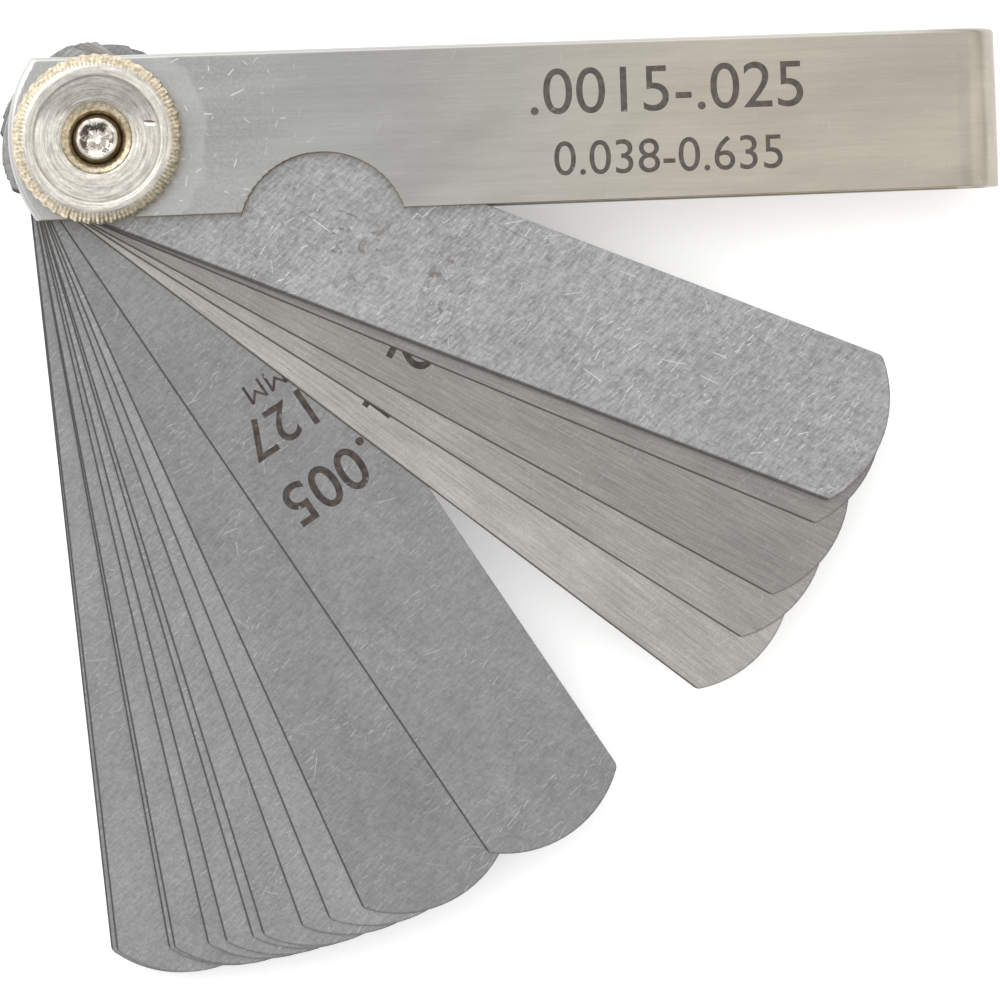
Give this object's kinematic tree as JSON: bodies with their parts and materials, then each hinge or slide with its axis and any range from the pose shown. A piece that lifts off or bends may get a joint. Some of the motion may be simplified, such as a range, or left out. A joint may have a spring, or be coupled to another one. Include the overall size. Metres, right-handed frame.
{
  "type": "feeler gauge",
  "caption": "Pocket feeler gauge: a fan of thin steel gauge blades on one screw in a folded sheet-metal holder with a thumb notch, clamped by a knurled thumb nut.",
  "frame": {"origin": "pivot axis, on the flat outer face of the screw head that the gauge lies on", "axes": "+X along the holder from the pivot to its fold, +Y towards the holder's straight edge, +Z out through the thumb nut"},
  "size_m": [0.0811, 0.0761, 0.0109],
  "materials": {
    "holder_strip": "nickel-plated strip, brushed lengthwise",
    "screw_steel": "plain turned steel",
    "washer_steel": "plain steel",
    "nut_metal": "turned bright face, brassy knurled rim",
    "gauge_steel": "hardened spring steel, satin, lightly scratched",
    "thin_gauge_steel": "thin spring steel, brushed lengthwise",
    "cover_gauge_steel": "hardened spring steel, matt with many short scratches"
  },
  "bodies": {
    "holder": {"handle": "holder_strip", "pivot_screw": "screw_steel"},
    "washer": {"thrust_washer": "washer_steel"},
    "nut": {"lock_nut": "nut_metal"},
    "gauge_018": {"blade_018": "gauge_steel"},
    "gauge_016": {"blade_016": "gauge_steel"},
    "gauge_015": {"blade_015": "gauge_steel"},
    "gauge_014": {"blade_014": "gauge_steel"},
    "gauge_013": {"blade_013": "gauge_steel"},
    "gauge_012": {"blade_012": "gauge_steel"},
    "gauge_010": {"blade_010": "gauge_steel"},
    "gauge_009": {"blade_009": "gauge_steel"},
    "gauge_008": {"blade_008": "gauge_steel"},
    "gauge_007": {"blade_007": "gauge_steel"},
    "gauge_006": {"blade_006": "gauge_steel"},
    "gauge_005": {"blade_005": "gauge_steel"},
    "gauge_004": {"blade_004": "thin_gauge_steel"},
    "gauge_003": {"blade_003": "thin_gauge_steel"},
    "gauge_002": {"blade_002": "thin_gauge_steel"},
    "gauge_0015": {"blade_0015": "thin_gauge_steel"},
    "gauge_025": {"blade_025": "cover_gauge_steel"}
  },
  "joints": [
    {"name": "washer_lift", "type": "slide", "parent": "holder", "child": "washer", "axis": [0, 0, 1], "range_m": [0, 0.00035]},
    {"name": "nut_turn", "type": "hinge", "parent": "washer", "child": "nut", "pos_m": [0, 0, 0.00938], "axis": [0, 0, 1], "range_deg": [0, 180.5]},
    {"name": "swing_018", "type": "hinge", "parent": "holder", "child": "gauge_018", "pos_m": [0, 0, 0.00215], "axis": [0, 0, 1], "range_deg": [-94.3, 85.7]},
    {"name": "swing_016", "type": "hinge", "parent": "holder", "child": "gauge_016", "pos_m": [0, 0, 0.0026], "axis": [0, 0, 1], "range_deg": [-94.7, 85.3]},
    {"name": "swing_015", "type": "hinge", "parent": "holder", "child": "gauge_015", "pos_m": [0, 0, 0.00301], "axis": [0, 0, 1], "range_deg": [-98.4, 81.6]},
    {"name": "swing_014", "type": "hinge", "parent": "holder", "child": "gauge_014", "pos_m": [0, 0, 0.0034], "axis": [0, 0, 1], "range_deg": [-98.8, 81.2]},
    {"name": "swing_013", "type": "hinge", "parent": "holder", "child": "gauge_013", "pos_m": [0, 0, 0.00377], "axis": [0, 0, 1], "range_deg": [-101.2, 78.8]},
    {"name": "swing_012", "type": "hinge", "parent": "holder", "child": "gauge_012", "pos_m": [0, 0, 0.0041], "axis": [0, 0, 1], "range_deg": [-102.5, 77.5]},
    {"name": "swing_010", "type": "hinge", "parent": "holder", "child": "gauge_010", "pos_m": [0, 0, 0.0044], "axis": [0, 0, 1], "range_deg": [-104.4, 75.6]},
    {"name": "swing_009", "type": "hinge", "parent": "holder", "child": "gauge_009", "pos_m": [0, 0, 0.00466], "axis": [0, 0, 1], "range_deg": [-105.2, 74.8]},
    {"name": "swing_008", "type": "hinge", "parent": "holder", "child": "gauge_008", "pos_m": [0, 0, 0.0049], "axis": [0, 0, 1], "range_deg": [-108, 72]},
    {"name": "swing_007", "type": "hinge", "parent": "holder", "child": "gauge_007", "pos_m": [0, 0, 0.00511], "axis": [0, 0, 1], "range_deg": [-110, 70]},
    {"name": "swing_006", "type": "hinge", "parent": "holder", "child": "gauge_006", "pos_m": [0, 0, 0.0053], "axis": [0, 0, 1], "range_deg": [-112.5, 67.5]},
    {"name": "swing_005", "type": "hinge", "parent": "holder", "child": "gauge_005", "pos_m": [0, 0, 0.00545], "axis": [0, 0, 1], "range_deg": [-122.2, 57.8]},
    {"name": "swing_004", "type": "hinge", "parent": "holder", "child": "gauge_004", "pos_m": [0, 0, 0.00559], "axis": [0, 0, 1], "range_deg": [-141, 39]},
    {"name": "swing_003", "type": "hinge", "parent": "holder", "child": "gauge_003", "pos_m": [0, 0, 0.0057], "axis": [0, 0, 1], "range_deg": [-145.8, 34.2]},
    {"name": "swing_002", "type": "hinge", "parent": "holder", "child": "gauge_002", "pos_m": [0, 0, 0.00578], "axis": [0, 0, 1], "range_deg": [-149.5, 30.5]},
    {"name": "swing_0015", "type": "hinge", "parent": "holder", "child": "gauge_0015", "pos_m": [0, 0, 0.00585], "axis": [0, 0, 1], "range_deg": [-155.4, 24.6]},
    {"name": "swing_025", "type": "hinge", "parent": "holder", "child": "gauge_025", "pos_m": [0, 0, 0.0062], "axis": [0, 0, 1], "range_deg": [-157.2, 22.8]}
  ],
  "couplings": [
    {"joint": "nut_turn", "follows": "washer_lift", "rad_per_m": 8976}
  ]
}
